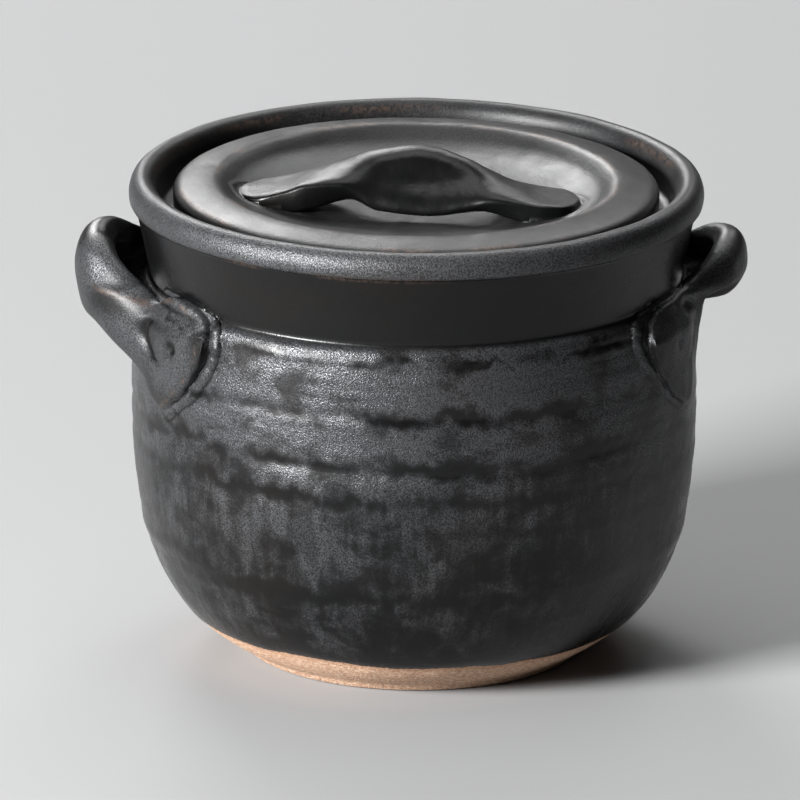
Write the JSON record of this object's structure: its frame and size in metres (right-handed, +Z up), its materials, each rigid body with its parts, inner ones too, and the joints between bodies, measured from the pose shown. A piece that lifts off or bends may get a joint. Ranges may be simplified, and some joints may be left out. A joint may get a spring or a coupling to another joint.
{
  "type": "clay rice pot",
  "caption": "Round-bellied stoneware rice pot with a flared collar, two pressed strap ears and a recessed lid with a twisted strap handle.",
  "frame": {"origin": "centre of the flat base, on the surface the pot stands on", "axes": "+Z up along the pot's axis, X through the two ears, -Y towards the viewer"},
  "size_m": [0.1759, 0.15, 0.1344],
  "materials": {
    "pot_glaze": "satin black iron glaze, bare sandy clay at the base",
    "lid_glaze": "satin black iron glaze"
  },
  "bodies": {
    "root": {"pot": "pot_glaze", "lid": "lid_glaze"}
  },
  "joints": []
}
